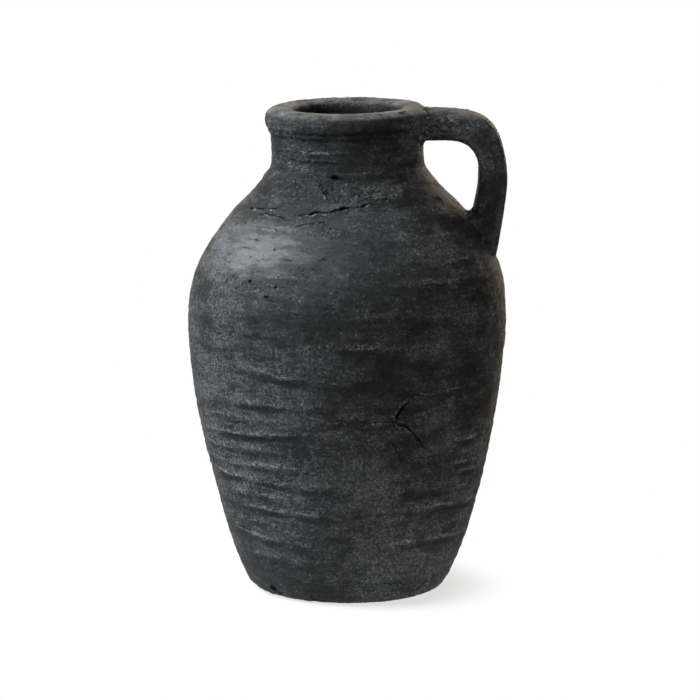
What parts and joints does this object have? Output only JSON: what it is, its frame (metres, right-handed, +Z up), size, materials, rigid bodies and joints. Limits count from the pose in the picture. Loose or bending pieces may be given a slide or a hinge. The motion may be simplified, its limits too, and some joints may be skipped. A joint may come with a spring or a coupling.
{
  "type": "clay jug",
  "caption": "Wide shouldered black-fired clay jug with a rolled rim, a narrow mouth and a strap handle from rim to shoulder, flat footed and free standing.",
  "frame": {"origin": "centre of the flat foot's underside, on the pot's axis", "axes": "+Z up along the pot's axis to the mouth, +X towards the strap handle"},
  "size_m": [0.2285, 0.2284, 0.35],
  "materials": {
    "body_clay": "black-fired clay, matte, sooty, with grey dusty ridges",
    "rim_clay": "black-fired clay, matte, worn grey on its crown",
    "foot_clay": "black-fired clay, matte, scuffed at the foot's edge",
    "handle_clay": "black-fired clay, matte, hand smoothed",
    "luting_clay": "black-fired clay, rough, crumbly"
  },
  "bodies": {
    "root": {"base_slab": "foot_clay", "lower_wall": "body_clay", "belly_wall": "body_clay", "shoulder_wall": "body_clay", "neck": "body_clay", "rim": "rim_clay", "handle": "handle_clay", "handle_upper_luting": "luting_clay", "handle_lower_luting": "luting_clay"}
  },
  "joints": []
}
